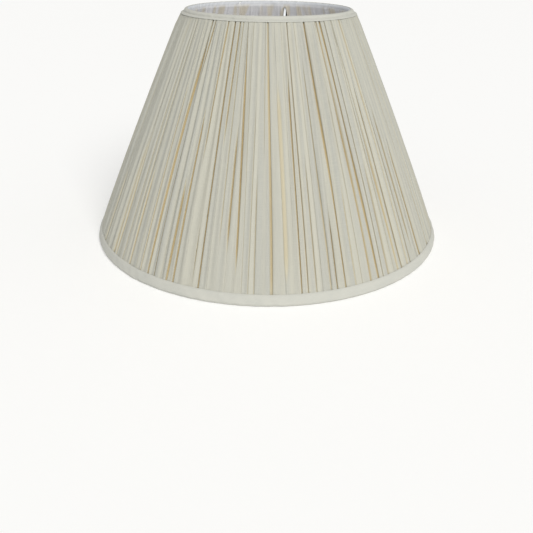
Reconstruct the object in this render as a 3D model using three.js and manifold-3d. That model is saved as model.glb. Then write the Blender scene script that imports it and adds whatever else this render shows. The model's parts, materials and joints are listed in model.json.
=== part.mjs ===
// A pleated fabric empire lampshade on a wire frame, with a tilting drop fitter.
//
// Frame: millimetres, +Z up. The origin is the centre of the circle that the bottom trim stands on.
// The two drop arms hang from the top ring on the Y axis, and the fitter tilts about that axis.
// The wall is laid out on a straight line from the bottom ring's wire to the top ring's wire. Each
// layer of the wall is an offset from that line: positive offsets lie outside the wires.

import * as THREE from "three";
import { mergeVertices } from "three/addons/utils/BufferGeometryUtils.js";
import Module from "manifold-3d";

const wasm = await Module();
wasm.setup();

// Overall sizes
const HEIGHT = 247; // from the standing face to the top of the rolled rim
const TOP_RING_RADIUS = 86.5; // to the middle of the wire
const BOTTOM_RING_RADIUS = 197.4; // to the middle of the wire

// Wire frame
const RING_WIRE_RADIUS = 1.5;
const STRUT_WIRE_RADIUS = 1.25;
const STRUT_COUNT = 8;
const WELD_GAP = 0.3; // between two wires that are welded together

// Layers of fabric, from the wires outwards and inwards
const LAYER_GAP = 0.3;
const TAPE_THICKNESS = 0.4;
const TAPE_OPEN_HALF_ANGLE = 75; // degrees: the side of the tape that the struts come in by
const TRIM_THICKNESS = 0.5;
const LINING_THICKNESS = 0.7;
const PLEAT_DEPTH_TOP = 2.6;
const PLEAT_DEPTH_BOTTOM = 1.8;
const COVER_BULGE = 2; // how far the pleats stand out half way up

// Edges of the fabric, measured along the wall
const SHOULDER_DROP = 4.1; // from the top ring down to the upper edge of the pleats
const TOP_TRIM_SKIRT = 1; // of trim below that edge
const BOTTOM_TRIM_RISE = 6.7; // of trim above the bottom ring, outside
const BOTTOM_TRIM_HEM = 5; // of trim above the bottom ring, inside
const LINING_RISE = 2; // of lining above the top ring
const SLIT_SIDE = 0.8; // room beside a drop arm in the lining
const SLIT_TAIL = 6; // of slit below the place where the arm comes through
const SLIT_LAYERS = 4; // depth of the slit's cutter, in times the lining's distance from the wires
const TOP_ROLL_FROM = -15; // degrees from straight outwards: the outer end of the top trim's roll
const TOP_ROLL_TO = 130; // and its inner end
const BOTTOM_TRIM_TURN = 1.2; // rounding of the bottom trim's lower corners

// Fitter
const FITTER_DROP = 55; // from the top of the rim down to the fitter's upper face
const FITTER_HOLE_RADIUS = 21; // passes the sleeve of a lampholder
const FITTER_WIDTH = 8; // of the flat ring round the hole
const PLATE_THICKNESS = 1.2;
const EAR_WIDTH = 12;
const EAR_PROUD = 0.2; // how far an ear stands out beyond the flat ring
const PIVOT_HEIGHT = 8; // of the pivot above the fitter's upper face
const PADDLE_WIDTH = 9;
const PADDLE_THICKNESS = 1.6;
const EAR_CLEARANCE = 0.4; // between an ear and the arm's paddle
const RIVET_RADIUS = 2;
const RIVET_CLEARANCE = 0.3;
const RIVET_HEAD_RADIUS = 3.6;
const RIVET_HEAD_THICKNESS = 1.6;
const RIVET_HEAD_FLAT = 0.7; // radius of a head's flat end, as a share of the head's
const ARM_WIRE_RADIUS = 1.4;
const ARM_STRAIGHT = 2; // of arm hanging straight below the top ring
const ARM_SLANT = 10; // how far an arm leans in on its way down
const ARM_UPPER_BEND = 8;
const ARM_LOWER_BEND = 4;

// Fineness
const ROUND_STEPS = 48; // round the shade
const WIRE_SIDES = 8;
const HOLE_SIDES = 16;
const ARM_STEPS = 36;
const OUTLINE_STEPS = 6; // along a curve in an outline
const MERGE_DISTANCE = 1e-4;

const tapeInside = RING_WIRE_RADIUS + LAYER_GAP;
const tapeOutside = tapeInside + TAPE_THICKNESS;
const wireClear = tapeOutside + LAYER_GAP; // the nearest that cover, lining or trim comes to a ring's centre
const rimRadius = wireClear + TRIM_THICKNESS;

// The wall's line, in (radius, height)
const bottomRing = new THREE.Vector2(BOTTOM_RING_RADIUS, rimRadius);
const topRing = new THREE.Vector2(TOP_RING_RADIUS, HEIGHT - rimRadius);
const wallLength = bottomRing.distanceTo(topRing);
const wallUp = topRing.clone().sub(bottomRing).normalize();
const wallOut = new THREE.Vector2(wallUp.y, -wallUp.x);

// The point `along` millimetres up the wall from the bottom ring, and `offset` outside it.
function onWall(along, offset) {
  return bottomRing.clone().addScaledVector(wallUp, along).addScaledVector(wallOut, offset);
}

// The radius of the wall's surface at `offset`, at the given height.
function wallRadiusAt(height, offset) {
  const foot = onWall(0, offset);
  return foot.x + ((height - foot.y) * wallUp.x) / wallUp.y;
}

// The outside of the pleats, as an offset from the wall's line.
function coverOffset(along) {
  const share = along / wallLength;
  const depth = THREE.MathUtils.lerp(PLEAT_DEPTH_BOTTOM, PLEAT_DEPTH_TOP, share);
  return wireClear + depth + COVER_BULGE * 4 * share * (1 - share);
}

// Points on a circle round `centre`, from one angle to another, in degrees from straight outwards.
function arc(centre, radius, from, to, steps) {
  const points = [];
  for (let i = 0; i <= steps; i++) {
    const angle = THREE.MathUtils.degToRad(THREE.MathUtils.lerp(from, to, i / steps));
    points.push(new THREE.Vector2(centre.x + radius * Math.cos(angle), centre.y + radius * Math.sin(angle)));
  }
  return points;
}

// A solid of revolution about Z. The outline runs anticlockwise in (radius, height) and is closed here.
function revolve(outline, steps = ROUND_STEPS) {
  const closed = [...outline, outline[0].clone()];
  return new THREE.LatheGeometry(closed, steps).rotateX(Math.PI / 2);
}

// A three.js geometry as a manifold-3d solid, and back again
function toSolid(geometry) {
  const bare = geometry.clone();
  bare.deleteAttribute("normal");
  bare.deleteAttribute("uv");
  const merged = mergeVertices(bare, MERGE_DISTANCE);
  return new wasm.Manifold(
    new wasm.Mesh({
      numProp: 3,
      vertProperties: merged.attributes.position.array,
      triVerts: new Uint32Array(merged.index.array),
    }),
  );
}

function toGeometry(solid) {
  const mesh = solid.getMesh();
  const geometry = new THREE.BufferGeometry();
  geometry.setAttribute("position", new THREE.BufferAttribute(mesh.vertProperties, 3));
  geometry.setIndex(new THREE.BufferAttribute(mesh.triVerts, 1));
  geometry.computeVertexNormals();
  return geometry;
}

// Materials
const whiteCoat = new THREE.MeshStandardMaterial({ color: 0xe9ebee, roughness: 0.45, metalness: 0.0 });
const bareSteel = new THREE.MeshStandardMaterial({ color: 0xb9bcc0, roughness: 0.35, metalness: 0.9 });
const creamCotton = new THREE.MeshStandardMaterial({ color: 0xd9d6c6, roughness: 0.92, metalness: 0.0 });
const trimCotton = new THREE.MeshStandardMaterial({ color: 0xd6d5ca, roughness: 0.9, metalness: 0.0 });
const whiteLining = new THREE.MeshStandardMaterial({ color: 0xe6e6ea, roughness: 0.8, metalness: 0.0 });
const cottonTape = new THREE.MeshStandardMaterial({ color: 0xeeeeea, roughness: 0.95, metalness: 0.0 });

const lampshade = new THREE.Group();

function place(group, name, geometry, material) {
  const mesh = new THREE.Mesh(geometry, material);
  mesh.name = name;
  group.add(mesh);
  return mesh;
}

// Wire frame: two rings and the struts welded between them
function ringWire(centre) {
  return revolve(arc(centre, RING_WIRE_RADIUS, 0, 360 * (1 - 1 / WIRE_SIDES), WIRE_SIDES - 1));
}

function strutWire() {
  const length = wallLength - 2 * (RING_WIRE_RADIUS + WELD_GAP);
  const middle = onWall(wallLength / 2, 0);
  const lean = Math.atan2(wallUp.x, wallUp.y);
  const wire = new THREE.CylinderGeometry(STRUT_WIRE_RADIUS, STRUT_WIRE_RADIUS, length, WIRE_SIDES);
  return wire.rotateX(Math.PI / 2).rotateY(lean).translate(middle.x, 0, middle.y);
}

const wireFrame = new THREE.Group();
lampshade.add(wireFrame);
place(wireFrame, "top_ring", ringWire(topRing), whiteCoat);
place(wireFrame, "bottom_ring", ringWire(bottomRing), whiteCoat);
for (let i = 0; i < STRUT_COUNT; i++) {
  const strut = place(wireFrame, `strut_${i + 1}`, strutWire(), whiteCoat);
  strut.rotation.z = ((i + 0.5) * 2 * Math.PI) / STRUT_COUNT;
}

// Cotton tape wound round each ring, which the fabric is sewn to. It is open towards the struts.
function ringTape(centre, openTowards) {
  const from = openTowards + TAPE_OPEN_HALF_ANGLE;
  const to = openTowards + 360 - TAPE_OPEN_HALF_ANGLE;
  return revolve([
    ...arc(centre, tapeOutside, from, to, OUTLINE_STEPS),
    ...arc(centre, tapeInside, to, from, OUTLINE_STEPS),
  ]);
}

const strutAngle = THREE.MathUtils.radToDeg(Math.atan2(wallUp.y, wallUp.x));
const straightDown = -90;
place(wireFrame, "top_ring_tape", ringTape(topRing, (strutAngle - 180 + straightDown) / 2), cottonTape);
place(wireFrame, "bottom_ring_tape", ringTape(bottomRing, strutAngle), cottonTape);

// Drop fitter: two arms, and a flat ring with an ear at each side that is riveted to them
const fitterTop = HEIGHT - FITTER_DROP;
const fitterRadius = FITTER_HOLE_RADIUS + FITTER_WIDTH;
const pivotZ = fitterTop + PIVOT_HEIGHT;
const earOutside = fitterRadius + EAR_PROUD;
const earInside = earOutside - PLATE_THICKNESS;
const paddleInside = earOutside + EAR_CLEARANCE;
const paddleOutside = paddleInside + PADDLE_THICKNESS;
const pivotHole = RIVET_RADIUS + RIVET_CLEARANCE;
const armTopZ = topRing.y - RING_WIRE_RADIUS - WELD_GAP;
const armEndZ = pivotZ + EAR_WIDTH / 2 + EAR_CLEARANCE;
const armLevelZ = armEndZ + ARM_LOWER_BEND;
const armLeanZ = armTopZ - ARM_STRAIGHT;
const armLean = ARM_SLANT / (armLeanZ - armLevelZ - ARM_UPPER_BEND); // inwards, for each millimetre down

// A flat strip standing in the XZ plane, round about the pivot at its upper end and with a hole there.
// It reaches down to `reach` below the pivot, and its thickness runs along +Y from 0.
function pivotStrip(width, reach, thickness) {
  const half = width / 2;
  const shape = new THREE.Shape();
  shape.absarc(0, 0, half, 0, Math.PI, false);
  shape.lineTo(-half, -reach);
  shape.lineTo(half, -reach);
  shape.holes.push(new THREE.Path().absarc(0, 0, pivotHole, 0, 2 * Math.PI, true));
  const strip = new THREE.ExtrudeGeometry(shape, {
    depth: thickness,
    bevelEnabled: false,
    curveSegments: HOLE_SIDES,
  });
  return strip.rotateX(Math.PI / 2).translate(0, thickness, 0);
}

function fitterPlate() {
  const under = fitterTop - PLATE_THICKNESS;
  const flat = toSolid(
    revolve([
      new THREE.Vector2(FITTER_HOLE_RADIUS, under),
      new THREE.Vector2(fitterRadius, under),
      new THREE.Vector2(fitterRadius, fitterTop),
      new THREE.Vector2(FITTER_HOLE_RADIUS, fitterTop),
    ]),
  );
  const reach = PIVOT_HEIGHT + PLATE_THICKNESS;
  const backEar = pivotStrip(EAR_WIDTH, reach, PLATE_THICKNESS).translate(0, earInside, pivotZ);
  const frontEar = backEar.clone().rotateZ(Math.PI);
  return toGeometry(flat.add(toSolid(backEar)).add(toSolid(frontEar)));
}

// The back arm: down from the top ring, in towards the axis, and down again into its paddle
function dropArm() {
  const wireY = paddleInside + PADDLE_THICKNESS / 2;
  const cornerY = TOP_RING_RADIUS - ARM_SLANT - ARM_UPPER_BEND * armLean;
  const point = (y, z) => new THREE.Vector3(0, y, z);
  const leanStart = point(TOP_RING_RADIUS, armLeanZ);
  const leanEnd = point(TOP_RING_RADIUS - ARM_SLANT, armLevelZ + ARM_UPPER_BEND);
  const levelStart = point(cornerY - ARM_UPPER_BEND, armLevelZ);
  const levelEnd = point(wireY + ARM_LOWER_BEND, armLevelZ);
  const path = new THREE.CurvePath();
  path.add(new THREE.LineCurve3(point(TOP_RING_RADIUS, armTopZ), leanStart));
  path.add(new THREE.LineCurve3(leanStart, leanEnd));
  path.add(new THREE.QuadraticBezierCurve3(leanEnd, point(cornerY, armLevelZ), levelStart));
  path.add(new THREE.LineCurve3(levelStart, levelEnd));
  path.add(new THREE.QuadraticBezierCurve3(levelEnd, point(wireY, armLevelZ), point(wireY, armEndZ)));
  const section = new THREE.Shape().absarc(0, 0, ARM_WIRE_RADIUS, 0, 2 * Math.PI, false);
  const wire = new THREE.ExtrudeGeometry(section, {
    steps: ARM_STEPS,
    curveSegments: WIRE_SIDES / 2,
    extrudePath: path,
  });
  const paddle = pivotStrip(PADDLE_WIDTH, armEndZ + ARM_WIRE_RADIUS - pivotZ, PADDLE_THICKNESS);
  paddle.rotateY(Math.PI).translate(0, paddleInside, pivotZ);
  return toGeometry(toSolid(wire).add(toSolid(paddle)));
}

// A rivet through the back paddle and ear, about the pivot, with a head at each end
function pivotRivet() {
  const inner = earInside - LAYER_GAP;
  const outer = paddleOutside + LAYER_GAP;
  const outline = [
    new THREE.Vector2(0, inner - RIVET_HEAD_THICKNESS),
    new THREE.Vector2(RIVET_HEAD_RADIUS * RIVET_HEAD_FLAT, inner - RIVET_HEAD_THICKNESS),
    new THREE.Vector2(RIVET_HEAD_RADIUS, inner - RIVET_HEAD_THICKNESS / 2),
    new THREE.Vector2(RIVET_HEAD_RADIUS, inner),
    new THREE.Vector2(RIVET_RADIUS, inner),
    new THREE.Vector2(RIVET_RADIUS, outer),
    new THREE.Vector2(RIVET_HEAD_RADIUS, outer),
    new THREE.Vector2(RIVET_HEAD_RADIUS, outer + RIVET_HEAD_THICKNESS / 2),
    new THREE.Vector2(RIVET_HEAD_RADIUS * RIVET_HEAD_FLAT, outer + RIVET_HEAD_THICKNESS),
    new THREE.Vector2(0, outer + RIVET_HEAD_THICKNESS),
  ];
  return new THREE.LatheGeometry(outline, HOLE_SIDES).translate(0, 0, pivotZ);
}

const fitter = new THREE.Group();
lampshade.add(fitter);
place(fitter, "fitter_ring", fitterPlate(), whiteCoat);
const sides = [
  ["back", 0],
  ["front", Math.PI],
];
for (const [side, turn] of sides) {
  place(fitter, `drop_arm_${side}`, dropArm(), whiteCoat).rotation.z = turn;
  place(fitter, `pivot_rivet_${side}`, pivotRivet(), bareSteel).rotation.z = turn;
}

// Pleated cover, from the shoulder under the rim to the bottom ring
function pleatedCover() {
  const low = -tapeOutside;
  const high = wallLength - SHOULDER_DROP;
  const outside = [];
  for (let i = 0; i <= OUTLINE_STEPS; i++) {
    const along = THREE.MathUtils.lerp(low, high, i / OUTLINE_STEPS);
    outside.push(onWall(along, coverOffset(along)));
  }
  return revolve([onWall(low, wireClear), ...outside, onWall(high, wireClear)]);
}

// Lining inside the struts, with a slit where each drop arm comes through
function lining() {
  const low = 0;
  const high = wallLength + LINING_RISE;
  const shell = revolve([
    onWall(low, -wireClear - LINING_THICKNESS),
    onWall(low, -wireClear),
    onWall(high, -wireClear),
    onWall(high, -wireClear - LINING_THICKNESS),
  ]);
  const armOutside = TOP_RING_RADIUS + ARM_WIRE_RADIUS + SLIT_SIDE;
  const overlap = armOutside - wallRadiusAt(armLeanZ, -wireClear - LINING_THICKNESS);
  const liningLean = -wallUp.x / wallUp.y;
  const slitLow = armLeanZ - overlap / (armLean + liningLean) - SLIT_TAIL;
  const slitHigh = topRing.y - RING_WIRE_RADIUS;
  const slitDepth = SLIT_LAYERS * (wireClear + LINING_THICKNESS) + SLIT_TAIL;
  const cut = new THREE.BoxGeometry(2 * (ARM_WIRE_RADIUS + SLIT_SIDE), slitDepth, slitHigh - slitLow);
  cut.translate(0, TOP_RING_RADIUS, (slitLow + slitHigh) / 2);
  const backSlit = toSolid(cut);
  const frontSlit = toSolid(cut.clone().rotateZ(Math.PI));
  return toGeometry(toSolid(shell).subtract(backSlit).subtract(frontSlit));
}

// Top trim: a roll over the top ring, a strip out to the shoulder, and a skirt on the pleats
function topTrim() {
  const edge = wallLength - SHOULDER_DROP;
  const foot = edge - TOP_TRIM_SKIRT;
  const footOffset = coverOffset(foot) + LAYER_GAP;
  const edgeOffset = coverOffset(edge) + LAYER_GAP;
  return revolve([
    onWall(foot, footOffset),
    onWall(foot, footOffset + TRIM_THICKNESS),
    onWall(edge + LAYER_GAP, edgeOffset + TRIM_THICKNESS),
    onWall(edge + LAYER_GAP + TRIM_THICKNESS, edgeOffset),
    ...arc(topRing, rimRadius, TOP_ROLL_FROM, TOP_ROLL_TO, OUTLINE_STEPS),
    ...arc(topRing, wireClear, TOP_ROLL_TO, TOP_ROLL_FROM, OUTLINE_STEPS),
    onWall(edge + LAYER_GAP, edgeOffset),
  ]);
}

// Bottom trim: a band on the pleats that turns under the ring and up inside the lining
function bottomTrim() {
  const floor = TRIM_THICKNESS;
  const insideOffset = -wireClear - LINING_THICKNESS - LAYER_GAP;
  const lowOffset = coverOffset(-tapeOutside) + LAYER_GAP;
  const highOffset = coverOffset(BOTTOM_TRIM_RISE) + LAYER_GAP;
  const insideLow = onWall(0, insideOffset - TRIM_THICKNESS);
  const outsideLow = onWall(-tapeOutside, lowOffset + TRIM_THICKNESS);
  return revolve([
    new THREE.Vector2(insideLow.x + BOTTOM_TRIM_TURN / 2, 0),
    new THREE.Vector2(outsideLow.x - BOTTOM_TRIM_TURN, 0),
    new THREE.Vector2(outsideLow.x - BOTTOM_TRIM_TURN / 4, BOTTOM_TRIM_TURN),
    outsideLow,
    onWall(BOTTOM_TRIM_RISE, highOffset + TRIM_THICKNESS),
    onWall(BOTTOM_TRIM_RISE, highOffset),
    onWall(-tapeOutside, lowOffset),
    new THREE.Vector2(outsideLow.x - BOTTOM_TRIM_TURN - TRIM_THICKNESS, floor),
    new THREE.Vector2(insideLow.x + BOTTOM_TRIM_TURN / 2 + TRIM_THICKNESS, floor),
    onWall(0, insideOffset),
    onWall(BOTTOM_TRIM_HEM, insideOffset),
    onWall(BOTTOM_TRIM_HEM, insideOffset - TRIM_THICKNESS),
    insideLow,
  ]);
}

const fabric = new THREE.Group();
lampshade.add(fabric);
place(fabric, "pleated_cover", pleatedCover(), creamCotton);
place(fabric, "lining", lining(), whiteLining);
place(fabric, "top_trim", topTrim(), trimCotton);
place(fabric, "bottom_trim", bottomTrim(), trimCotton);

export default lampshade;
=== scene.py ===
"""A pleated linen lampshade, built round its packed wire frame.

Lengths are in metres. An azimuth is measured round the shade's axis from -Y towards +X, so the front
drop arm is at 0 and the back one at pi. A point on the wall is given by how far it is along the wall
from the bottom ring's wire, and by its offset from the line between the two rings' wires, outwards.
"""

import json
import math
import random

import bmesh
import bpy
import numpy as np
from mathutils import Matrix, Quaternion, Vector


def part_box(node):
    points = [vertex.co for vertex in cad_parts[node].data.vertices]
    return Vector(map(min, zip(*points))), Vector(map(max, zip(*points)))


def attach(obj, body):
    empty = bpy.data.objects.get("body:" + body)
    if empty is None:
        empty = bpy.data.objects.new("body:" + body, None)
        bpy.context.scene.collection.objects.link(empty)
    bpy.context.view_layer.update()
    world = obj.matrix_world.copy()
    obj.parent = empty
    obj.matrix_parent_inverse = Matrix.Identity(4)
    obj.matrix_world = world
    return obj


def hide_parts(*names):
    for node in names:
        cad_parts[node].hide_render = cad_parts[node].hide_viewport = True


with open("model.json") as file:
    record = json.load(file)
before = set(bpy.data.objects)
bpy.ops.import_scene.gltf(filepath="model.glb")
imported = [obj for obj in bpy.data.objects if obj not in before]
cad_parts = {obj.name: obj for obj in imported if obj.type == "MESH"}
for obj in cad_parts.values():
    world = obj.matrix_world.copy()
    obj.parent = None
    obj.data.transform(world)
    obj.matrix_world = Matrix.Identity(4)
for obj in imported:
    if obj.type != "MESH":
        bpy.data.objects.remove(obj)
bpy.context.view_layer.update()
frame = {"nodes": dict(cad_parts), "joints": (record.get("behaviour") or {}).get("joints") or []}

MM = 0.001
TAU = 2 * math.pi
FRONT = math.radians(13)  # the azimuth that the camera looks from


# The wall, from the frame

def ring_wire(node):
    """The radius and height of a ring's wire centre, and the wire's own radius."""
    low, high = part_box(node)
    wire = (high.z - low.z) / 2
    return high.x - wire, (high.z + low.z) / 2, wire


BOTTOM_R, BOTTOM_Z, RING_WIRE = ring_wire("bottom_ring")
TOP_R, TOP_Z, _ = ring_wire("top_ring")
WALL = math.hypot(TOP_R - BOTTOM_R, TOP_Z - BOTTOM_Z)
UP_R, UP_Z = (TOP_R - BOTTOM_R) / WALL, (TOP_Z - BOTTOM_Z) / WALL
OUT_R, OUT_Z = UP_Z, -UP_R


def wall_radius(along, offset):
    return BOTTOM_R + along * UP_R + offset * OUT_R


def wall_point(azimuth, along, offset):
    radius = wall_radius(along, offset)
    height = BOTTOM_Z + along * UP_Z + offset * OUT_Z
    return np.stack(np.broadcast_arrays(radius * np.sin(azimuth), -radius * np.cos(azimuth), height), axis=-1)


def cad_profile(node, side):
    """A CAD node's offset from the wall's line as a function of the place along it, outside or inside."""
    co = np.array([v.co for v in frame["nodes"][node].data.vertices])
    radius = np.hypot(co[:, 0], co[:, 1]) - BOTTOM_R
    height = co[:, 2] - BOTTOM_Z
    along = np.round(radius * UP_R + height * UP_Z, 4)
    offset = radius * OUT_R + height * OUT_Z
    places = np.unique(along)
    offsets = np.array([side * np.max(side * offset[along == a]) for a in places])
    return places, offsets


COVER_PLACES, COVER_OFFSETS = cad_profile("pleated_cover", 1)
COVER_INSIDE = cad_profile("pleated_cover", -1)[1].min()
UNDER_TRIM = 0.7 * MM  # how far the cover runs on past the CAD's edge, under the top trim
COVER_LOW, COVER_HIGH = COVER_PLACES[0], COVER_PLACES[-1] + UNDER_TRIM
LINING_OFFSET = cad_profile("lining", -1)[1].min()


def cover_offset(along):
    return np.interp(along, COVER_PLACES, COVER_OFFSETS)


def smooth(low, high, x):
    t = np.clip((np.asarray(x, float) - low) / (high - low), 0, 1)
    return t * t * (3 - 2 * t)


# Meshes

def add_object(name, data):
    obj = bpy.data.objects.new(name, data)
    bpy.context.scene.collection.objects.link(obj)
    return obj


def mesh_object(name, points, faces, attributes=None, uv=None):
    """An object from points and faces, with point attributes and a (u, v) in metres for each point."""
    mesh = bpy.data.meshes.new(name)
    mesh.from_pydata(points.tolist(), [], faces.tolist())
    for key, values in (attributes or {}).items():
        mesh.attributes.new(key, "FLOAT", "POINT").data.foreach_set("value", values.astype(np.float32))
    if uv is not None:
        corners = np.zeros(len(mesh.loops), np.int32)
        mesh.loops.foreach_get("vertex_index", corners)
        layer = mesh.uv_layers.new(name="cloth")
        layer.data.foreach_set("uv", uv[corners].astype(np.float32).ravel())
    mesh.shade_smooth()
    return add_object(name, mesh)


def grid_faces(rows, columns, wrap):
    """Quads of a grid of points. Rows run up and columns run round, and wrap joins the last to the first."""
    row = np.arange(rows - 1)[:, None]
    column = np.arange(columns if wrap else columns - 1)[None, :]
    after = (column + 1) % columns
    corners = [(row, column), (row, after), (row + 1, after), (row + 1, column)]
    quads = [r * columns + c for r, c in corners]
    return np.stack([np.broadcast_to(q, (rows - 1, column.size)) for q in quads], axis=-1).reshape(-1, 4)


def wander(rng, azimuth, waves, count=24):
    """A smooth random function of azimuth with a size of about 1; waves is the least and most per turn."""
    total = np.zeros_like(azimuth)
    for _ in range(count):
        total = total + np.sin(rng.randint(*waves) * azimuth + rng.uniform(0, TAU))
    return total * math.sqrt(2 / count)


# Pleated cover

BELOW, ABOVE = -0.2, 1.2  # heights past the cloth's edges, for a fold that is still open there

# The folds seen from the front: azimuth from there in degrees, drift at the top in degrees, width of the
# opening at the bottom in mm, depth as a share, and the heights at which it opens and closes, as shares.
FRONT_FOLDS = [
    (-66.3, 0.0, 5.0, 1.0, BELOW, 0.40),
    (-56.5, 0.0, 4.6, 1.0, BELOW, 0.55),
    (-46.0, 0.5, 3.8, 1.0, BELOW, 0.48),
    (-40.6, 1.0, 2.6, 0.9, BELOW, 0.80),
    (-37.4, 2.4, 3.6, 1.0, BELOW, ABOVE),
    (-30.2, 0.4, 2.6, 1.0, BELOW, 0.46),
    (-27.9, 1.0, 3.0, 1.0, BELOW, 0.72),
    (-24.6, 0.6, 2.2, 0.8, 0.46, ABOVE),
    (-21.6, 0.0, 1.6, 0.7, 0.02, 0.30),
    (-17.2, 0.6, 2.4, 0.9, 0.52, ABOVE),
    (-11.9, 0.0, 3.0, 1.0, 0.14, 0.66),
    (-9.0, -2.6, 2.9, 1.0, 0.07, ABOVE),
    (-5.2, 0.2, 1.4, 0.35, BELOW, 0.75),
    (1.5, -1.9, 4.4, 0.75, BELOW, ABOVE),
    (5.6, -2.2, 7.4, 0.55, 0.03, 0.82),
    (9.9, -1.0, 2.2, 0.9, BELOW, 0.86),
    (18.6, -2.2, 2.2, 0.6, BELOW, 0.90),
    (23.2, -2.4, 3.2, 0.9, BELOW, ABOVE),
    (26.4, 0.0, 2.6, 0.6, BELOW, 0.46),
    (31.8, -3.2, 4.0, 1.0, BELOW, ABOVE),
    (34.8, -3.6, 3.8, 1.0, BELOW, ABOVE),
    (38.9, 0.0, 3.8, 1.0, BELOW, 0.52),
    (43.2, -3.2, 4.4, 0.9, BELOW, ABOVE),
    (48.3, -1.4, 5.4, 1.0, BELOW, ABOVE),
    (52.6, 0.0, 4.0, 0.8, 0.05, 0.70),
    (57.0, 0.0, 5.4, 1.0, BELOW, 0.55),
    (65.3, 0.0, 6.2, 1.0, BELOW, 0.74),
]
FOLD_SPACING = 1.9  # degrees, on average
FULL_DEPTH = 2.3 * MM
FLOOR_CLEARANCE = 0.25 * MM  # between the bottom of a fold and the tape
LIP_REACH = 1.5  # how far out a lip goes, in half widths of its fold
FADE = 0.14  # the share of the height over which a fold opens or closes
CALM, CALM_WIDTH = 0.4, 28  # how much fainter the other folds are in front, and over how many degrees
STRONG, MIDDLING = 0.40, 0.74  # away from the front, the share that is strong, and strong or middling
DRIFT_SPREAD = 0.4  # degrees
PLACE_SPREAD = 0.22  # of the other folds, as a share of their spacing
COVER_INSET = 0.35 * MM  # from the CAD's outside in to the cloth's faces
FOOT_ZONE, HEAD_ZONE = 16 * MM, 4 * MM  # where the rows lie closer, at the bottom and at the top
FOOT_ROWS, WALL_ROWS, HEAD_ROWS = 6, 26, 6
SWAY = 0.12  # degrees that a fold wanders to the side on its way up
CLOSED_WIDTH = 0.35  # of a fold, as a share of its width where it is open
CROWDING = 0.5  # the power of the radius by which the folds narrow towards the top
LEAST_CROWD, CROWD_ROOM = 0.1, 0.85  # the least width left to a squeezed fold, and the share folds may fill
LEAST_FACE = 0.3 * MM  # between two lips
STEP_MOST = 0.45  # mm that one side of a fold may lie lower
WEAVE_SHIFT = 0.0137  # metres that the weave jumps from each fold to the next
FINE_WAVE, SMALL_WAVE, WIDE_WAVE = 0.42 * MM, 0.24 * MM, 0.30 * MM
SHOULDER, SHOULDER_LENGTH = 1.0 * MM, 2.2 * MM  # the rounding of the upper edge


def random_fold(rng, azimuth, drift):
    """One fold at this azimuth: strong, middling or faint, and fewer strong ones in front."""
    drift = drift + rng.uniform(-DRIFT_SPREAD, DRIFT_SPREAD)
    kind = rng.random() + CALM * math.exp(-((azimuth / CALM_WIDTH) ** 2))
    closing = (BELOW, rng.uniform(0.35, 0.9))
    opening = (rng.uniform(0.1, 0.6), ABOVE)
    low, high = rng.choice([(BELOW, ABOVE), (BELOW, ABOVE), closing, opening])
    if kind < STRONG:
        return azimuth, drift, rng.uniform(1.8, 3.2), rng.uniform(0.85, 1), low, high
    if kind < MIDDLING:
        return azimuth, drift, rng.uniform(1.3, 1.9), rng.uniform(0.4, 0.8), low, high
    return azimuth, drift, rng.uniform(0.9, 1.5), rng.uniform(0.12, 0.32), low, high


def all_folds():
    """The front folds, and between them and round the back enough others to fill the circle."""
    rng = random.Random(7)
    first = FRONT_FOLDS[0]
    folds = list(FRONT_FOLDS)
    for here, there in zip(FRONT_FOLDS, FRONT_FOLDS[1:] + [(first[0] + 360, *first[1:])]):
        gap = there[0] - here[0]
        taken = math.degrees((here[2] + there[2]) / 2 * MM / BOTTOM_R)
        more = max(0, round((gap - taken) / FOLD_SPACING) - 1)
        for i in range(more):
            share = (i + 1 + rng.uniform(-PLACE_SPREAD, PLACE_SPREAD)) / (more + 1)
            drift = here[1] + (there[1] - here[1]) * share
            folds.append(random_fold(rng, here[0] + gap * share, drift))
    return np.array(sorted(folds))


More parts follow.
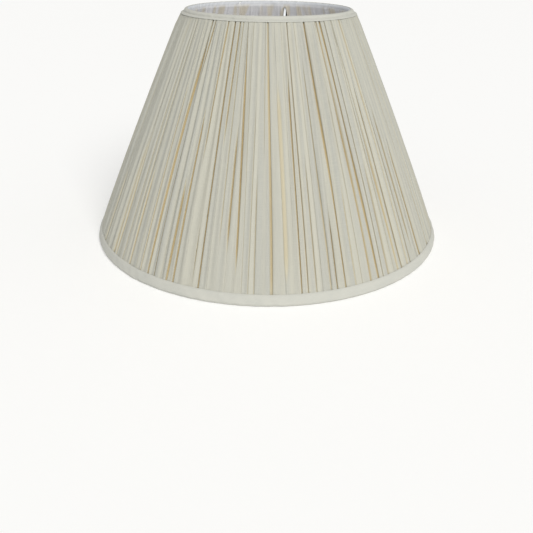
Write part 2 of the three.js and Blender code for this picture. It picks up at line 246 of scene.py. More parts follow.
def cover_cloth():
    """One folded sheet. Each fold has a rounded lip at both sides, and one lip hangs over the opening."""
    rng = random.Random(5)
    folds = all_folds()
    count = len(folds)
    foot, head = COVER_LOW + FOOT_ZONE, COVER_HIGH - HEAD_ZONE
    along = np.unique(np.concatenate([
        np.linspace(COVER_LOW, foot, FOOT_ROWS),
        np.linspace(foot, head, WALL_ROWS),
        COVER_HIGH - HEAD_ZONE * (1 - np.linspace(0, 1, HEAD_ROWS + 1)[1:]) ** 2,
    ]))[:, None]
    height = (along - COVER_LOW) / (COVER_HIGH - COVER_LOW)

    azimuth, drift, width, depth, opens, closes = folds.T
    sway = np.array([[rng.uniform(-SWAY, SWAY), rng.uniform(0, TAU)] for _ in range(count)]).T
    centre = np.radians(azimuth + drift * height**2 + sway[0] * np.sin(5 * height + sway[1])) + FRONT
    gap = np.roll(centre, -1, axis=1) - centre
    gap[:, -1] += TAU
    open_share = smooth(opens, opens + FADE, height) * (1 - smooth(closes - FADE, closes, height))
    radius = wall_radius(along, cover_offset(along))
    crowding = (radius / BOTTOM_R) ** CROWDING
    half = width * MM / 2 * crowding * (CLOSED_WIDTH + (1 - CLOSED_WIDTH) * open_share)
    needed = LIP_REACH * (half + np.roll(half, -1, axis=1))
    crowd = np.clip(CROWD_ROOM * gap * radius / needed, LEAST_CROWD, 1)
    squeeze = np.minimum(crowd, np.roll(crowd, 1, axis=1))
    half = half * squeeze
    room = np.minimum(FULL_DEPTH, cover_offset(along) - COVER_INSIDE - FLOOR_CLEARANCE)
    sink = depth * room * open_share * squeeze**0.5

    # The lips, as (share of the half width, share of the depth) from the fold's floor to the face
    plain_lip = [(0.35, 0.97), (0.62, 0.70), (0.80, 0.32), (1.10, 0.08), (LIP_REACH, 0.0)]
    overhung_lip = [(0.60, 0.95), (0.55, 0.64), (0.42, 0.28), (0.66, 0.06), (1.6, 0.0)]
    overhung = np.array([rng.random() < 0.5 for _ in range(count)])
    step = np.array([rng.uniform(0, STEP_MOST) * MM * d for d in depth])
    face_shares = (0.2, 0.4, 0.6, 0.8)

    columns, sinks, steps, cloth = [], [], [], []
    for i in range(count):
        after = (i + 1) % count
        turn = TAU if after == 0 else 0
        left, right = centre[:, i], centre[:, after] + turn
        right_lip = plain_lip if overhung[i] else overhung_lip
        next_left_lip = overhung_lip if overhung[after] else plain_lip
        radius_here = radius[:, 0]
        middle = (left + right) / 2
        spots = [(left, sink[:, i], 0.0)]
        for reach, deep in right_lip:
            spots.append((left + reach * half[:, i] / radius_here, deep * sink[:, i], step[i]))
        face_left = spots[-1][0]
        face_right = right - next_left_lip[-1][0] * half[:, after] / radius_here
        face_right = np.maximum(face_right, face_left + LEAST_FACE / radius_here)
        for share in face_shares:
            spots.append((face_left + (face_right - face_left) * share, 0 * left, step[i] * (1 - share)))
        for reach, deep in reversed(next_left_lip):
            spots.append((right - reach * half[:, after] / radius_here, deep * sink[:, after], 0.0))
        for angle, deep, raised in spots:
            columns.append(angle)
            sinks.append(deep)
            steps.append(raised * np.ones_like(angle))
            cloth.append(i * WEAVE_SHIFT + (angle - middle) * radius_here)
    angle = np.array(columns).T
    sunk = np.array(sinks).T
    lowered = np.array(steps).T

    # Soft waves over the faces, the pressed edges at both trims, and the rounded shoulder at the top
    soft_rng = random.Random(21)
    waves = FINE_WAVE * wander(soft_rng, angle + 0.006 * np.sin(7 * height), (55, 130))
    waves = waves + SMALL_WAVE * wander(soft_rng, angle, (130, 230)) * (0.6 + 0.4 * np.sin(4 * height + 1))
    waves = waves + WIDE_WAVE * wander(soft_rng, angle, (6, 22), 10) * height * (1 - height) * 4
    pressed = 1 - 0.92 * (1 - smooth(0, 0.07, height)) - 0.85 * smooth(0.95, 1, height)
    turned = smooth(COVER_HIGH - SHOULDER_LENGTH, COVER_HIGH, along)
    shoulder = SHOULDER * (1 - np.sqrt(np.clip(1 - turned**2, 0, 1)))
    offset = cover_offset(along) - COVER_INSET - lowered * pressed - sunk + waves * pressed - shoulder
    points = wall_point(angle, along, offset).reshape(-1, 3)
    # Painted shade: how deep each point lies in its fold, which the material turns into darker sand and tan
    # valleys
    fold_shade = np.clip(sunk / FULL_DEPTH, 0, 1) ** 0.9
    tone_rng = random.Random(3)
    tone = 0.5 + 0.25 * wander(tone_rng, angle, (40, 150), 20) + 0.12 * wander(tone_rng, angle, (8, 30), 8)
    uv = np.stack([np.array(cloth).T, np.broadcast_to(along, angle.shape)], axis=-1).reshape(-1, 2)
    return mesh_object(
        "pleated_cover_cloth", points, grid_faces(*angle.shape, True),
        {"fold": fold_shade.ravel(), "tone": np.clip(tone, 0, 1).ravel()}, uv,
    )


# Lining

SNUG, WIDE = 1.7 * MM, 2.5 * MM  # from a drop arm's middle to the lining's edge, on its two sides
SLIT_LOW, SLIT_HIGH = WALL - 22 * MM, WALL - 1.6 * MM
PUCKER_R = 2.75 * MM  # from the ring's centre to the lining that is rolled over it
ROLL_TURN = math.radians(106)
LINING_LOW = 0.5 * MM
LINING_COLUMNS = 460  # in each half
LINING_INSET = 0.5 * MM  # from the CAD's inside in to the cloth
GATHERS, FINE_GATHERS = 0.6 * MM, 0.35 * MM  # heights on the wall
ROLL_GATHERS, FINE_ROLL_GATHERS = 0.20 * MM, 0.09 * MM  # heights over the ring
TUFT, TUFT_AZIMUTH, TUFT_WIDTH = 0.55 * MM, 187, 6  # a loose tuft beside the back arm, in degrees
# The lining's bands are painted shade: darker beige stripes where the pleated cover's layers shade the light
# coming through
BAND_SLANT, BAND_REACH = 0.10, 25 * MM  # how far the bands lean, in radians, and over what length


def lining_cloth():
    """Two half shells of gathered lining that part at the drop arms and roll over the top ring."""
    lower_rows = np.linspace(LINING_LOW, WALL - 40 * MM, 26)
    upper_rows = np.linspace(WALL - 38 * MM, WALL, 24)
    wall_rows = np.concatenate([lower_rows, upper_rows])
    roll_rows = np.linspace(0, 1, 13)[1:]
    columns = LINING_COLUMNS
    share = np.linspace(0, 1, columns)
    pieces = []
    for side in range(2):
        angle = math.pi * (side + share)[None, :] + 0 * wall_rows[:, None]
        along = wall_rows[:, None] + 0 * angle
        height = along / WALL
        shut = smooth(SLIT_HIGH - 1.5 * MM, SLIT_HIGH, along)
        taut = smooth(SLIT_HIGH - 10 * MM, SLIT_HIGH, along)
        parted = smooth(SLIT_LOW, SLIT_LOW + 10 * MM, along) * (1 - shut)
        loose = smooth(SLIT_LOW, SLIT_LOW + 6 * MM, along) * (1 - taut)
        opened = SNUG * parted + np.where(share > 0.5, WIDE - SNUG, 0)[None, :] * loose
        radius = wall_radius(along, LINING_OFFSET)
        from_arm = np.minimum(share, 1 - share)[None, :] * math.pi * radius
        push = opened * np.exp(-from_arm / (5 * MM))
        sign = np.where(share < 0.5, 1, -1)[None, :]
        turned = angle + sign * push / radius
        slanted = turned + 0.10 * height
        lift = GATHERS * wander(random.Random(31), slanted + 0.02 * np.sin(3 * height), (14, 50), 18)
        lift = lift + FINE_GATHERS * wander(random.Random(32), turned, (60, 140), 18) * smooth(0.5, 1, height)
        ease = smooth(0, 0.06, height) * (1 - 0.5 * smooth(0.97, 1, height))
        tucked = 0.8 * MM * np.exp(-from_arm / (4 * MM)) * opened / WIDE
        offset = LINING_OFFSET - LINING_INSET - np.abs(lift) * ease - tucked
        wall = wall_point(turned, along, offset)

        # Over the ring: the cloth turns from the inside of the wall, over the wire, to its crest
        inward = math.atan2(-OUT_Z, -OUT_R)
        turn = (inward - ROLL_TURN * roll_rows)[:, None] + 0 * angle[:1]
        round_angle = angle[:1] + 0 * turn
        leaning = round_angle + 0.05 * roll_rows[:, None]
        gather = ROLL_GATHERS * wander(random.Random(41), leaning, (40, 110), 20)
        gather = gather + FINE_ROLL_GATHERS * wander(random.Random(42), leaning, (110, 200), 20)
        beside = np.exp(-((np.degrees(round_angle) - TUFT_AZIMUTH) / TUFT_WIDTH) ** 2)
        tuft = TUFT * beside * (1 + 0.5 * wander(random.Random(43), round_angle, (30, 70), 12))
        swell = 0.25 * MM * (1 - roll_rows[:, None] ** 2)
        midway = np.sin(math.pi * roll_rows)[:, None] ** 0.5
        reach = PUCKER_R + swell + (gather + np.abs(tuft)) * midway
        ring = TOP_R + reach * np.cos(turn)
        crest = TOP_Z + reach * np.sin(turn)
        roll = np.stack([ring * np.sin(round_angle), -ring * np.cos(round_angle), crest], axis=-1)
        pieces.append(np.concatenate([wall, roll]))
    rows = len(wall_rows) + len(roll_rows)
    points = np.concatenate([p.reshape(-1, 3) for p in pieces])
    faces = np.concatenate([grid_faces(rows, columns, False) + k * rows * columns for k in range(2)])
    faces = faces[:, ::-1]
    halves = [np.broadcast_to(math.pi * (side + share), (rows, columns)) for side in range(2)]
    angle = np.concatenate([half.ravel() for half in halves])
    along = np.tile(np.repeat(np.concatenate([wall_rows, WALL + 6 * MM * roll_rows]), columns), 2)
    # Painted shade: broad darker beige bands round the lining, which fade out over the rim
    slanted = angle + BAND_SLANT * np.sin(2 * angle + 1) * np.tanh((along - WALL) / BAND_REACH)
    band = wander(random.Random(51), slanted, (7, 34), 16)
    band = band + 0.35 * wander(random.Random(52), 2 * angle - slanted, (30, 80), 12)
    rim = smooth(WALL - 1.5 * MM, WALL + 3 * MM, along)
    uv = np.stack([angle * TOP_R, along], axis=-1)
    attributes = {"band": smooth(-0.3, 1.1, band) * (1 - rim), "rim": rim}
    obj = mesh_object("lining_cloth", points, faces, attributes, uv)
    weld(obj)
    return obj


def weld(obj, distance=0.01 * MM):
    """Joins points of the mesh that lie on each other."""
    edit = bmesh.new()
    edit.from_mesh(obj.data)
    bmesh.ops.remove_doubles(edit, verts=edit.verts, dist=distance)
    edit.to_mesh(obj.data)
    edit.free()


# Trims

def revolve(name, outline, steps, ripple=None):
    """A closed outline of (radius, height) turned about the axis; ripple(azimuth, i) moves point i out."""
    outline = np.array(outline)
    count = len(outline)
    azimuth = np.linspace(0, TAU, steps, endpoint=False)[:, None]
    radius = outline[:, 0][None, :] + (ripple(azimuth, np.arange(count)[None, :]) if ripple else 0)
    height = outline[:, 1][None, :] + 0 * azimuth
    points = np.stack([radius * np.sin(azimuth), -radius * np.cos(azimuth), height], axis=-1).reshape(-1, 3)
    row = np.arange(steps)[:, None]
    column = np.arange(count)[None, :]
    nxt, beside = (row + 1) % steps, (column + 1) % count
    corners = [(row, column), (nxt, column), (nxt, beside), (row, beside)]
    faces = np.stack([r * count + c for r, c in corners], axis=-1)
    lengths = np.concatenate([[0], np.cumsum(np.hypot(*np.diff(outline, axis=0).T))])
    uv = np.stack([azimuth * outline[:, 0].max() + 0 * radius, lengths[None, :] + 0 * azimuth], axis=-1)
    return mesh_object(name, points, faces.reshape(-1, 4), uv=uv.reshape(-1, 2))


def on_wall(along, offset):
    return wall_radius(along, offset), BOTTOM_Z + along * UP_Z + offset * OUT_Z


def ring_arc(centre, radius, start, end, steps):
    """Points on a small circle round a ring's wire, from one angle to another in degrees."""
    turns = [math.radians(start + (end - start) * i / steps) for i in range(steps + 1)]
    return [(centre[0] + radius * math.cos(t), centre[1] + radius * math.sin(t)) for t in turns]


CLOTH = 0.45 * MM  # thickness
ROLL_R = 3.05 * MM  # from the top ring's centre to the outside of the roll
ROLL_START, ROLL_END = 7, 104  # degrees from straight outwards
TOP_STEPS, TOP_RIPPLE = 360, 0.05 * MM


def top_trim_cloth():
    """A bias strip: a roll over the ring, a groove, and a narrow pressed strip out to the pleats."""
    ring = (TOP_R, TOP_Z)

    def near_ring(*points):
        return [(TOP_R + r * MM, TOP_Z + z * MM) for r, z in points]

    outer = [
        *near_ring((6.25, -1.85), (6.45, -1.65), (6.35, -1.35), (5.8, -0.95), (4.7, -0.45), (3.85, -0.15)),
        *near_ring((3.45, -0.2), (3.15, -0.1), (3.05, 0.2)),
        *ring_arc(ring, ROLL_R, ROLL_START, ROLL_END, 16),
    ]
    inner = [
        *ring_arc(ring, ROLL_R - CLOTH, ROLL_END, ROLL_START, 8),
        *near_ring((3.1, -0.65), (4.4, -0.8), (5.9, -1.55)),
    ]
    rng = random.Random(61)
    waves = [(rng.randint(30, 90), rng.uniform(0, TAU)) for _ in range(8)]

    def ripple(azimuth, i):
        return TOP_RIPPLE * sum(np.sin(n * azimuth + p + 0.2 * i) for n, p in waves)

    return revolve("top_trim_cloth", outer + inner, TOP_STEPS, ripple)


TRIM_TOP = 6.9 * MM  # the band's upper edge, along the wall from the bottom ring
HEM_TOP = 5.0 * MM  # its edge inside
HEM_START = 0.6 * MM
BAND_STEPS, DOME = 8, 0.35 * MM
BOTTOM_STEPS, BOTTOM_RIPPLE = 720, 0.045 * MM
OUTER_TURN, INNER_TURN = 1.9 * MM, 0.9 * MM  # rounding of the lower corners
FLOOR_THICKNESS = 0.7 * MM  # of the cloth that the shade stands on
JOIN, LAP = math.radians(-45) + FRONT, 0.5 * MM  # where the band's ends overlap, and by how much they lift it


def bottom_trim_cloth():
    """A bias band, slightly domed, that turns under the bottom ring and up inside the lining."""
    places = np.linspace(COVER_LOW, TRIM_TOP, BAND_STEPS + 1)
    pressed = smooth(TRIM_TOP - 1.5 * MM, TRIM_TOP, places)
    face = [cover_offset(a) + (0.75 - 0.80 * p) * MM for a, p in zip(places, pressed)]
    shares = [i / BAND_STEPS for i in range(BAND_STEPS + 1)]
    dome = [DOME * share**0.5 * math.sin(math.pi * share) for share in shares]
    outside = [on_wall(a, f + d) for a, f, d in zip(places, face, dome)]
    inside_offset = LINING_OFFSET - 0.35 * MM - 0.75 * MM
    inside_low = on_wall(HEM_START, inside_offset)
    floor_out = outside[0][0] - OUTER_TURN
    floor_in = inside_low[0] + INNER_TURN
    fold_out = [
        (floor_out + OUTER_TURN * math.sin(t), outside[0][1] * (1 - math.cos(t)))
        for t in np.linspace(0, math.pi / 2, 8)[:-1]
    ]
    outline = [
        (floor_in, 0.0),
        (floor_in * 0.5 + floor_out * 0.5, 0.0),
        *fold_out,
        *outside,
        on_wall(TRIM_TOP + 0.25 * MM, face[-1] - 0.20 * MM),
        on_wall(TRIM_TOP + 0.10 * MM, face[-1] - 0.45 * MM),
        *[on_wall(a, cover_offset(a) + 0.15 * MM) for a in (4 * MM, 1 * MM, COVER_LOW)],
        (floor_out, FLOOR_THICKNESS),
        (floor_in, FLOOR_THICKNESS),
        on_wall(HEM_START, inside_offset + CLOTH),
        on_wall(HEM_TOP, inside_offset + CLOTH),
        on_wall(HEM_TOP + 0.15 * MM, inside_offset + CLOTH / 2),
        on_wall(HEM_TOP, inside_offset),
        inside_low,
        (inside_low[0] + 0.15 * MM, 0.45 * MM),
    ]
    rng = random.Random(71)
    waves = [(rng.randint(25, 120), rng.uniform(0, TAU)) for _ in range(14)]
    first, last = 2, 2 + len(fold_out) + len(outside)

    def ripple(azimuth, i):
        shown = (i >= first) & (i <= last)
        wave = BOTTOM_RIPPLE * sum(np.sin(n * azimuth + p + 0.35 * i) for n, p in waves)
        past = (azimuth - JOIN) % TAU
        lap = LAP * smooth(0, 0.004, past) * (1 - smooth(0.02, 0.14, past))
        return np.where(shown, wave + lap, 0)

    return revolve("bottom_trim_cloth", outline, BOTTOM_STEPS, ripple)


# Fitter

def sweep(name, path, radius, sides):
    """A round wire along a path in the YZ plane, closed at both ends."""
    path = np.array(path)
    count = len(path)
    tangent = np.gradient(path, axis=0)
    tangent /= np.linalg.norm(tangent, axis=1)[:, None]
    across = np.array([1.0, 0, 0])
    normal = np.cross(tangent, across)
    turn = np.linspace(0, TAU, sides, endpoint=False)
    rings = (
        path[:, None, :]
        + radius * np.cos(turn)[None, :, None] * across
        + radius * np.sin(turn)[None, :, None] * normal[:, None, :]
    )
    points = np.concatenate([rings.reshape(-1, 3), path[:1], path[-1:]])
    faces = grid_faces(count, sides, True).tolist()
    first, last = count * sides, count * sides + 1
    for k in range(sides):
        after = (k + 1) % sides
        faces.append([first, after, k])
        faces.append([last, (count - 1) * sides + k, (count - 1) * sides + after])
    mesh = bpy.data.meshes.new(name)
    mesh.from_pydata(points.tolist(), [], faces)
    mesh.shade_smooth()
    return add_object(name, mesh)


def plate(name, outline, holes, thickness, bevel):
    """A flat plate in the XY plane with rounded edges, as a filled curve turned into a mesh."""
    data = bpy.data.curves.new(name, "CURVE")
    data.dimensions = "2D"
    data.fill_mode = "BOTH"
    data.extrude = thickness / 2 - bevel
    data.bevel_depth = bevel
    data.bevel_resolution = 2
    data.offset = -bevel
    for loop in [outline, *holes]:
        spline = data.splines.new("POLY")
        spline.points.add(len(loop) - 1)
        for point, (x, y) in zip(spline.points, loop):
            point.co = (x, y, 0, 1)
        spline.use_cyclic_u = True
    holder = add_object(name, data)
    bpy.context.view_layer.update()
    mesh = bpy.data.meshes.new_from_object(holder.evaluated_get(bpy.context.evaluated_depsgraph_get()))
    bpy.data.objects.remove(holder)
    return add_object(name, mesh)


def circle(radius, steps=48, centre=(0, 0)):
    turns = np.linspace(0, TAU, steps, endpoint=False)
    return [(centre[0] + radius * math.cos(t), centre[1] + radius * math.sin(t)) for t in turns]


def strip_outline(width, reach, steps=24):
    """A strip with a round end about the origin, reaching `reach` away from it along -Y."""
    half = width / 2
    end = [(half * math.cos(t), half * math.sin(t)) for t in np.linspace(0, math.pi, steps)]
    return end + [(-half, -reach), (half, -reach)]


def joined(name, objects):
    """One object from several, with all their surfaces."""
    for o in bpy.context.selected_objects:
        o.select_set(False)
    for o in objects:
        o.select_set(True)
    bpy.context.view_layer.objects.active = objects[0]
    bpy.ops.object.join()
    objects[0].name = name
    return objects[0]


def smooth_by_angle(obj, degrees=35):
    obj.data.shade_smooth()
    obj.data.set_sharp_from_angle(angle=math.radians(degrees))


RING_LOW, RING_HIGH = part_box("fitter_ring")
PIVOT = Vector(frame["joints"][0]["pos_m"])
PLATE_THICKNESS = 1.2 * MM
PLATE_EDGE = 0.3 * MM  # rounding of a plate's edges
RING_TOP = RING_LOW.z + PLATE_THICKNESS
HOLE_R = 21 * MM
RING_R = RING_HIGH.x
EAR_WIDTH = 12 * MM
PIVOT_HOLE = 2.3 * MM
EAR_OUTSIDE = RING_HIGH.y
PADDLE_WIDTH, PADDLE_THICKNESS = 9 * MM, 1.6 * MM
PADDLE_EDGE = 0.4 * MM  # rounding of a paddle's edges
PADDLE_TAIL = 2.2 * MM  # how far a paddle runs on past its wire's end
EAR_CLEARANCE = 0.4 * MM
PADDLE_INSIDE = EAR_OUTSIDE + EAR_CLEARANCE
RING_STEPS, PIVOT_STEPS, WIRE_SIDES = 96, 24, 20
ARM_WIRE = 1.4 * MM
ARM_STRAIGHT, ARM_SLANT = 2 * MM, 10 * MM  # of arm hanging straight, and how far it then leans in
UPPER_BEND, LOWER_BEND = 8 * MM, 4 * MM
WELD_GAP = 0.1 * MM  # between the top ring's wire and the arm's end
WELD_BEAD = [(0, -2.3), (1.2, -2.0), (1.9, -1.0), (2.0, 0), (1.6, 1.2), (0, 1.7)]  # mm
RIVET_GAP, HEAD_R, SHANK_R = 0.3, 3.6, 2.0  # mm
DOME_EDGE, DOME_RISE = 0.5, 1.1  # mm


def upright(obj, side, y, pivot_z):
    """Stands a plate made in XY up in the XZ plane, with its middle at y on the back (1) or front (-1)."""
    obj.rotation_euler = (math.pi / 2, 0, 0)
    obj.location = (0, side * y, pivot_z)
    bpy.context.view_layer.update()
    obj.data.transform(obj.matrix_world)
    obj.matrix_world.identity()
    return obj


def fitter():
    """The pressed ring with its two upturned ears."""
    rim, hole = circle(RING_R, RING_STEPS), circle(HOLE_R, RING_STEPS)
    washer = plate("fitter_washer", rim, [hole], PLATE_THICKNESS, PLATE_EDGE)
    for v in washer.data.vertices:
        v.co.z += RING_TOP - PLATE_THICKNESS / 2
    parts = [washer]
    reach = PIVOT.z - RING_LOW.z - PLATE_EDGE
    for side in (1, -1):
        outline, hole = strip_outline(EAR_WIDTH, reach), circle(PIVOT_HOLE, PIVOT_STEPS)
        ear = plate("ear", outline, [hole], PLATE_THICKNESS, PLATE_EDGE)
        parts.append(upright(ear, side, EAR_OUTSIDE - PLATE_THICKNESS / 2, PIVOT.z))
    obj = joined("fitter_plate", parts)
    smooth_by_angle(obj)
    return obj


def drop_arm(name, side):
    """One wire arm: a weld under the top ring, down while leaning in, level, and down to its paddle."""
    centre = PADDLE_INSIDE + PADDLE_THICKNESS / 2
    top = TOP_Z - RING_WIRE - WELD_GAP
    end = PIVOT.z + EAR_WIDTH / 2 + EAR_CLEARANCE
    level = end + LOWER_BEND
    lean_z = top - ARM_STRAIGHT
    lean_end = TOP_R - ARM_SLANT
    corner = lean_end - UPPER_BEND * ARM_SLANT / (lean_z - level - UPPER_BEND)

    def turn(peak, start, finish, steps=12):
        shares = np.linspace(0, 1, steps)[:, None]
        a, b, c = (np.array(p) for p in (start, peak, finish))
        return ((1 - shares) ** 2 * a + 2 * shares * (1 - shares) * b + shares**2 * c).tolist()

    path = [(TOP_R, top), (TOP_R, lean_z), (TOP_R - ARM_SLANT / 2, (lean_z + level + UPPER_BEND) / 2)]
    path += turn((corner, level), (lean_end, level + UPPER_BEND), (corner - UPPER_BEND, level))
    path += [((corner - UPPER_BEND + centre) / 2, level)]
    path += turn((centre, level), (centre + LOWER_BEND, level), (centre, end))
    wire = sweep("wire", [(0, side * y, z) for y, z in path], ARM_WIRE, WIRE_SIDES)
    reach = end + PADDLE_TAIL - PIVOT.z
    outline = [(x, -y) for x, y in strip_outline(PADDLE_WIDTH, reach)]
    paddle = plate("paddle", outline, [circle(PIVOT_HOLE, PIVOT_STEPS)], PADDLE_THICKNESS, PADDLE_EDGE)
    upright(paddle, side, centre, PIVOT.z)
    bead = revolve_about_y("bead", WELD_BEAD, WIRE_SIDES)
    bead.data.transform(Quaternion((1, 0, 0), math.pi / 2).to_matrix().to_4x4())
    for v in bead.data.vertices:
        v.co += Vector((0, side * TOP_R, top))
    obj = joined(name, [wire, paddle, bead])
    smooth_by_angle(obj)
    return obj


def revolve_about_y(name, outline, steps):
    """An outline of (radius, distance along Y) in mm, turned about the Y axis, closed at both ends."""
    turn = np.linspace(0, TAU, steps, endpoint=False)
    points, faces = [], []
    for radius, y in outline:
        points += [(radius * MM * math.cos(t), y * MM, radius * MM * math.sin(t)) for t in turn]
    for i in range(len(outline) - 1):
        for k in range(steps):
            after = (k + 1) % steps
            faces.append([i * steps + k, (i + 1) * steps + k, (i + 1) * steps + after, i * steps + after])
    mesh = bpy.data.meshes.new(name)
    mesh.from_pydata(points, [], faces)
    obj = add_object(name, mesh)
    weld(obj)
    return obj


def rivet(name, side):
    """A tubular rivet: a domed head inside, a shank, and a rolled and dimpled end outside."""
    inner = (EAR_OUTSIDE - PLATE_THICKNESS) / MM - RIVET_GAP
    outer = (PADDLE_INSIDE + PADDLE_THICKNESS) / MM + RIVET_GAP
    quarter = np.linspace(0, math.pi / 2, 9)
    dome = [(HEAD_R * math.sin(t), inner - DOME_EDGE - DOME_RISE * math.cos(t)) for t in quarter]
    roll = [(HEAD_R, 0), (3.65, 0.45), (3.2, 1.1), (2.4, 1.35), (1.7, 1.0), (1.2, 0.4), (0, 0.35)]
    rolled = [(radius, outer + rise) for radius, rise in roll]
    outline = dome + [(HEAD_R, inner), (SHANK_R, inner), (SHANK_R, outer)] + rolled
    obj = revolve_about_y(name, outline, 40)
    if side < 0:
        obj.data.transform(Quaternion((0, 0, 1), math.pi).to_matrix().to_4x4())
    for v in obj.data.vertices:
        v.co.z += PIVOT.z
    smooth_by_angle(obj)
    return obj


# Materials

class Nodes:
    """A material's node tree, with short ways to add nodes and links."""

    def __init__(self, name, roughness, metallic=0.0, sheen=0.0, specular=0.35):
        self.material = bpy.data.materials.new(name)
        self.material.use_nodes = True
        self.tree = self.material.node_tree
        self.shader = self.tree.nodes["Principled BSDF"]
        self.shader.inputs["Roughness"].default_value = roughness
        self.shader.inputs["Metallic"].default_value = metallic
        self.shader.inputs["Sheen Weight"].default_value = sheen
        self.shader.inputs["Sheen Roughness"].default_value = 0.5
        self.shader.inputs["Specular IOR Level"].default_value = specular

    def node(self, kind, **settings):
        made = self.tree.nodes.new(kind)
        for key, value in settings.items():
            setattr(made, key, value)
        return made

    def link(self, output, target):
        self.tree.links.new(output, target)

    def math(self, operation, a, b=0.0):
        made = self.node("ShaderNodeMath", operation=operation)
        for socket, value in zip(made.inputs, (a, b)):
            if isinstance(value, (int, float)):
                socket.default_value = value
            else:
                self.link(value, socket)
        return made.outputs[0]

    def mix(self, share, a, b, blend="MIX"):
        made = self.node("ShaderNodeMix", data_type="RGBA", blend_type=blend)
        for socket, value in ((made.inputs["Factor"], share), (made.inputs["A"], a), (made.inputs["B"], b)):
            if isinstance(value, (int, float)):
                socket.default_value = value
            elif isinstance(value, tuple):
                socket.default_value = (*value, 1)
            else:
                self.link(value, socket)
        return made.outputs["Result"]

    def noise(self, vector, scale, detail=3.0, roughness=0.55):
        made = self.node("ShaderNodeTexNoise")
        made.inputs["Scale"].default_value = scale
        made.inputs["Detail"].default_value = detail
        made.inputs["Roughness"].default_value = roughness
        self.link(vector, made.inputs["Vector"])
        return made.outputs["Fac"]

    def scaled(self, vector, scale, turn=0.0):
        made = self.node("ShaderNodeMapping")
        made.inputs["Scale"].default_value = scale
        made.inputs["Rotation"].default_value = (0, 0, turn)
        self.link(vector, made.inputs["Vector"])
        return made.outputs["Vector"]

    def ramp(self, value, low, high):
        made = self.node("ShaderNodeMapRange", interpolation_type="SMOOTHSTEP")
        made.inputs["From Min"].default_value = low
        made.inputs["From Max"].default_value = high
        self.link(value, made.inputs["Value"])
        return made.outputs["Result"]

    def bump(self, height, strength, distance, below=None):
        made = self.node("ShaderNodeBump")
        made.inputs["Strength"].default_value = strength
        made.inputs["Distance"].default_value = distance
        self.link(height, made.inputs["Height"])
        if below is not None:
            self.link(below, made.inputs["Normal"])
        return made.outputs["Normal"]


def weave(n, turn=0.0, pitch=0.62 * MM):
    """Threads one over one, uneven as linen's are. Returns their height, and slubs along both ways."""
    uv = n.node("ShaderNodeUVMap", uv_map="cloth").outputs["UV"]
    turned = n.scaled(uv, (1, 1, 1), turn)
    wobble = n.noise(n.scaled(turned, (220, 220, 1)), 1.0, 2.0)
    parts = n.node("ShaderNodeSeparateXYZ")
    n.link(turned, parts.inputs[0])
    drift = n.math("MULTIPLY", wobble, 3.0)
    across = n.math("SINE", n.math("ADD", n.math("MULTIPLY", parts.outputs["X"], TAU / pitch), drift))
    up = n.math("SINE", n.math("ADD", n.math("MULTIPLY", parts.outputs["Y"], TAU / pitch), drift))
    threads = n.math("MULTIPLY", across, up)
    warp = n.noise(n.scaled(turned, (1500, 45, 1)), 1.0, 2.0)
    weft = n.noise(n.scaled(turned, (60, 1700, 1)), 1.0, 2.0)
    slubs = n.math("ADD", n.ramp(warp, 0.35, 0.75), n.ramp(weft, 0.38, 0.78))
    height = n.math("ADD", n.math("MULTIPLY", threads, 0.5), slubs)
    return uv, height, slubs


CREAM = (0.490, 0.480, 0.410)
GREY_CREAM = (0.415, 0.418, 0.380)
# Painted shade for the pleats' valleys: sand in shallow folds and a darker tan in deep ones
FOLD_SHADE_TAN = (0.48, 0.385, 0.22)
FOLD_SHADE_SAND = (0.53, 0.495, 0.38)


def cover_material():
    n = Nodes("pleated_linen", roughness=0.9, specular=0.12)
    uv, height, slubs = weave(n)
    fold = n.node("ShaderNodeAttribute", attribute_name="fold").outputs["Fac"]
    tone = n.node("ShaderNodeAttribute", attribute_name="tone").outputs["Fac"]
    face = n.mix(tone, CREAM, GREY_CREAM)
    thread = n.mix(n.math("MULTIPLY", slubs, 0.22), face, (0.57, 0.555, 0.48))
    speck = n.ramp(n.noise(n.scaled(uv, (420, 700, 1)), 1.0, 2.0), 0.72, 0.82)
    flecked = n.mix(n.math("MULTIPLY", speck, 0.16), thread, (0.42, 0.37, 0.27))
    # Painted shade: the fold attribute turns shallow valleys sand and deep ones a darker tan
    shallow = n.mix(n.ramp(fold, 0.05, 0.45), flecked, FOLD_SHADE_SAND)
    n.link(n.mix(n.ramp(fold, 0.40, 0.95), shallow, FOLD_SHADE_TAN), n.shader.inputs["Base Color"])
    rough = n.noise(n.scaled(uv, (90, 60, 1)), 1.0)
    n.link(n.math("ADD", n.math("MULTIPLY", rough, 0.14), 0.82), n.shader.inputs["Roughness"])
    n.link(n.bump(height, 0.55, 0.12 * MM), n.shader.inputs["Normal"])
    return n.material


def trim_material():
    n = Nodes("bias_linen", roughness=0.9, sheen=0.08, specular=0.2)
    uv, height, slubs = weave(n, math.radians(45))
    blotch = n.noise(n.scaled(uv, (30, 60, 1)), 1.0, 3.0)
    face = n.mix(n.ramp(blotch, 0.35, 0.7), (0.520, 0.518, 0.470), (0.485, 0.490, 0.448))
    n.link(n.mix(n.math("MULTIPLY", slubs, 0.2), face, (0.575, 0.570, 0.525)), n.shader.inputs["Base Color"])
    rough = n.noise(n.scaled(uv, (90, 60, 1)), 1.0)
    n.link(n.math("ADD", n.math("MULTIPLY", rough, 0.14), 0.82), n.shader.inputs["Roughness"])
    n.link(n.bump(height, 0.5, 0.10 * MM), n.shader.inputs["Normal"])
    return n.material


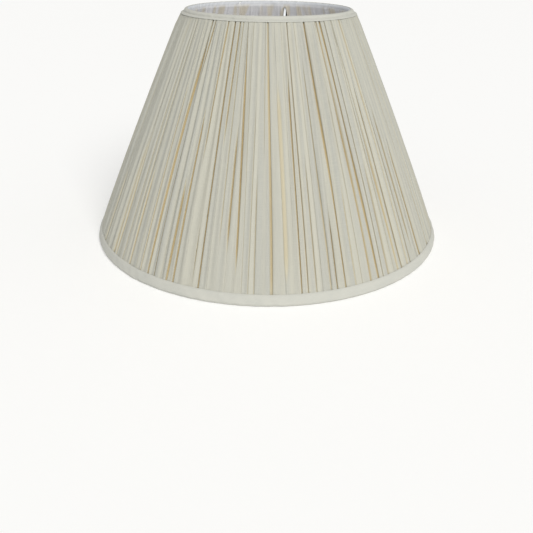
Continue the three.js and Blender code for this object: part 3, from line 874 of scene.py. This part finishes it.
def lining_material():
    n = Nodes("lining_fabric", roughness=0.75, sheen=0.1, specular=0.3)
    uv, height, slubs = weave(n, 0.0, 0.40 * MM)
    band = n.node("ShaderNodeAttribute", attribute_name="band").outputs["Fac"]
    rim = n.node("ShaderNodeAttribute", attribute_name="rim").outputs["Fac"]
    # Painted shade: the band attribute darkens the lining wall to beige in broad bands
    wall = n.mix(band, (0.55, 0.55, 0.57), (0.53, 0.49, 0.41))
    colour = n.mix(rim, wall, (0.52, 0.54, 0.57))
    n.link(n.mix(n.math("MULTIPLY", slubs, 0.12), colour, (0.85, 0.85, 0.86)), n.shader.inputs["Base Color"])
    crease = n.noise(n.scaled(uv, (260, 60, 1)), 1.0, 4.0)
    n.link(n.math("ADD", n.math("MULTIPLY", crease, 0.2), 0.62), n.shader.inputs["Roughness"])
    fine = n.bump(height, 0.3, 0.06 * MM)
    n.link(n.bump(crease, 0.35, 0.5 * MM, fine), n.shader.inputs["Normal"])
    return n.material


def coat_material():
    n = Nodes("white_powder_coat", roughness=0.4, specular=0.5)
    place = n.node("ShaderNodeTexCoord").outputs["Object"]
    peel = n.noise(place, 1800, 2.0)
    patch = n.noise(place, 90, 3.0)
    colour = n.mix(n.ramp(patch, 0.3, 0.8), (0.84, 0.87, 0.91), (0.78, 0.81, 0.85))
    n.link(colour, n.shader.inputs["Base Color"])
    n.link(n.math("ADD", n.math("MULTIPLY", patch, 0.2), 0.3), n.shader.inputs["Roughness"])
    n.link(n.bump(peel, 0.25, 0.05 * MM), n.shader.inputs["Normal"])
    return n.material


def zinc_material():
    n = Nodes("zinc_steel", roughness=0.35, metallic=1.0, specular=0.5)
    place = n.node("ShaderNodeTexCoord").outputs["Object"]
    grain = n.noise(n.scaled(place, (900, 120, 900)), 1.0, 3.0)
    patch = n.noise(place, 500, 3.0)
    n.link(n.mix(patch, (0.66, 0.67, 0.69), (0.50, 0.51, 0.53)), n.shader.inputs["Base Color"])
    n.link(n.math("ADD", n.math("MULTIPLY", grain, 0.25), 0.22), n.shader.inputs["Roughness"])
    n.link(n.bump(grain, 0.2, 0.03 * MM), n.shader.inputs["Normal"])
    return n.material


def tape_material():
    n = Nodes("cotton_tape", roughness=0.95, sheen=0.1, specular=0.2)
    place = n.node("ShaderNodeTexCoord").outputs["Object"]
    rib = n.noise(n.scaled(place, (700, 700, 2600)), 1.0, 2.0)
    n.link(n.mix(rib, (0.84, 0.84, 0.80), (0.70, 0.69, 0.64)), n.shader.inputs["Base Color"])
    n.link(n.math("ADD", n.math("MULTIPLY", rib, 0.1), 0.86), n.shader.inputs["Roughness"])
    n.link(n.bump(rib, 0.4, 0.1 * MM), n.shader.inputs["Normal"])
    return n.material


def paint(obj, material):
    obj.data.materials.clear()
    obj.data.materials.append(material)


# Stage

def make_camera():
    """A camera a little above the shade, tipped down to its axis and leaning by half a degree."""
    data = bpy.data.cameras.new("camera")
    data.sensor_width = 36
    data.lens = 41.07
    distance, height, pitch, lean = 0.697, 0.3065, math.radians(27.96), math.radians(0.53)
    camera = add_object("camera", data)
    camera.location = (distance * math.sin(FRONT), -distance * math.cos(FRONT), height)
    look = Vector((-math.sin(FRONT) * math.cos(pitch), math.cos(FRONT) * math.cos(pitch), -math.sin(pitch)))
    camera.rotation_mode = "QUATERNION"
    camera.rotation_quaternion = look.to_track_quat("-Z", "Y") @ Quaternion((0, 0, 1), lean)
    bpy.context.scene.camera = camera


def make_floor():
    mesh = bpy.data.meshes.new("floor")
    reach = 14.0
    corners = [(-reach, -reach, 0), (reach, -reach, 0), (reach, reach, 0), (-reach, reach, 0)]
    mesh.from_pydata(corners, [], [(0, 1, 2, 3)])
    floor = add_object("floor", mesh)
    floor.location.z = -0.2 * MM
    n = Nodes("floor_white", roughness=0.95, specular=0.1)
    n.shader.inputs["Base Color"].default_value = (0.99, 0.99, 0.99, 1)
    paint(floor, n.material)


def light(name, kind, energy, location, target=(0, 0, 0.12), **settings):
    data = bpy.data.lights.new(name, kind)
    data.energy = energy
    for key, value in settings.items():
        setattr(data, key, value)
    lamp = add_object(name, data)
    lamp.location = location
    lamp.rotation_mode = "QUATERNION"
    lamp.rotation_quaternion = (Vector(target) - Vector(location)).to_track_quat("-Z", "Y")
    lamp.visible_camera = False


def make_light():
    world = bpy.data.worlds.new("studio")
    world.use_nodes = True
    background = world.node_tree.nodes["Background"]
    background.inputs["Color"].default_value = (0.985, 0.995, 1.0, 1)
    background.inputs["Strength"].default_value = 0.46
    bpy.context.scene.world = world
    bpy.context.scene.view_settings.view_transform = "Standard"
    side = FRONT + math.radians(20)
    above = (2 * math.sin(side), -2 * math.cos(side), 2.0)
    light("key", "SUN", 2.40, above, angle=math.radians(42), color=(1.0, 0.985, 0.95))
    light("inside_fill", "POINT", 0.15, (0, 0, 0.16), shadow_soft_size=0.06)


# The object

make_camera()
make_floor()
make_light()

linen, bias, lining = cover_material(), trim_material(), lining_material()
coat, zinc, tape = coat_material(), zinc_material(), tape_material()

cover_piece = cover_cloth()
lining_piece = lining_cloth()
top_piece = top_trim_cloth()
bottom_piece = bottom_trim_cloth()
fitter_piece = fitter()

shown = [
    (cover_piece, "shade", "pleated_cover", "cover_cloth", linen),
    (lining_piece, "shade", "lining", "lining_cloth", lining),
    (top_piece, "shade", "top_trim", "trim_cloth", bias),
    (bottom_piece, "shade", "bottom_trim", "trim_cloth", bias),
    (fitter_piece, "fitter", "fitter_ring", "white_wire", coat),
]
for side, sign in (("back", 1), ("front", -1)):
    shown.append((drop_arm(f"drop_arm_wire_{side}", sign), "shade", f"drop_arm_{side}", "white_wire", coat))
    shown.append((rivet(f"pivot_pin_{side}", sign), "shade", f"pivot_rivet_{side}", "rivet_steel", zinc))
for piece, body, node, slot, material in shown:
    paint(piece, material)
    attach(piece, body)
    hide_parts(node)

for name, node in frame["nodes"].items():
    if name.startswith(("strut", "top_ring", "bottom_ring")):
        paint(node, tape if name.endswith("tape") else coat)
